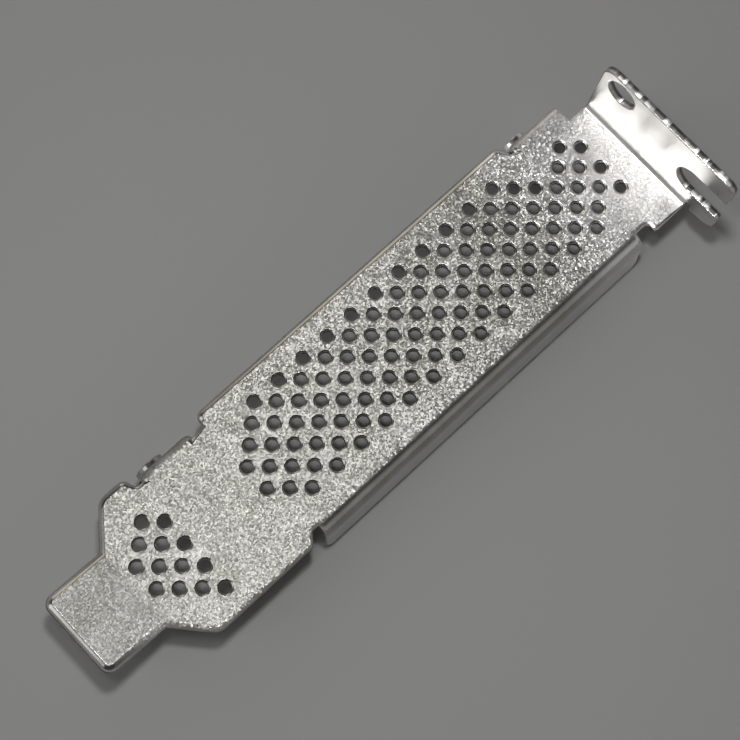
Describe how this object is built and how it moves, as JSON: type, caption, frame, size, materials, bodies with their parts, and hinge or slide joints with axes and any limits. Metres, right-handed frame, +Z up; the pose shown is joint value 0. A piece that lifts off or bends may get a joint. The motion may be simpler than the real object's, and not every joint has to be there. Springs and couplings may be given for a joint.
{
  "type": "low profile card bracket",
  "caption": "Low profile expansion card bracket: perforated folded steel plate with a slotted screw tab, tapped ears, a stiffening flange and a tongue.",
  "frame": {"origin": "centre of the overall box, on the surface that the flange and the ears rest on", "axes": "+X along the plate from the tongue to the tab, +Y across the plate from the flange to the ears, +Z up out of the plate's outer face"},
  "size_m": [0.0794, 0.0222, 0.0183],
  "materials": {
    "plated_steel": "satin plating with a fine grain"
  },
  "bodies": {
    "root": {"bracket": "plated_steel"}
  },
  "joints": []
}
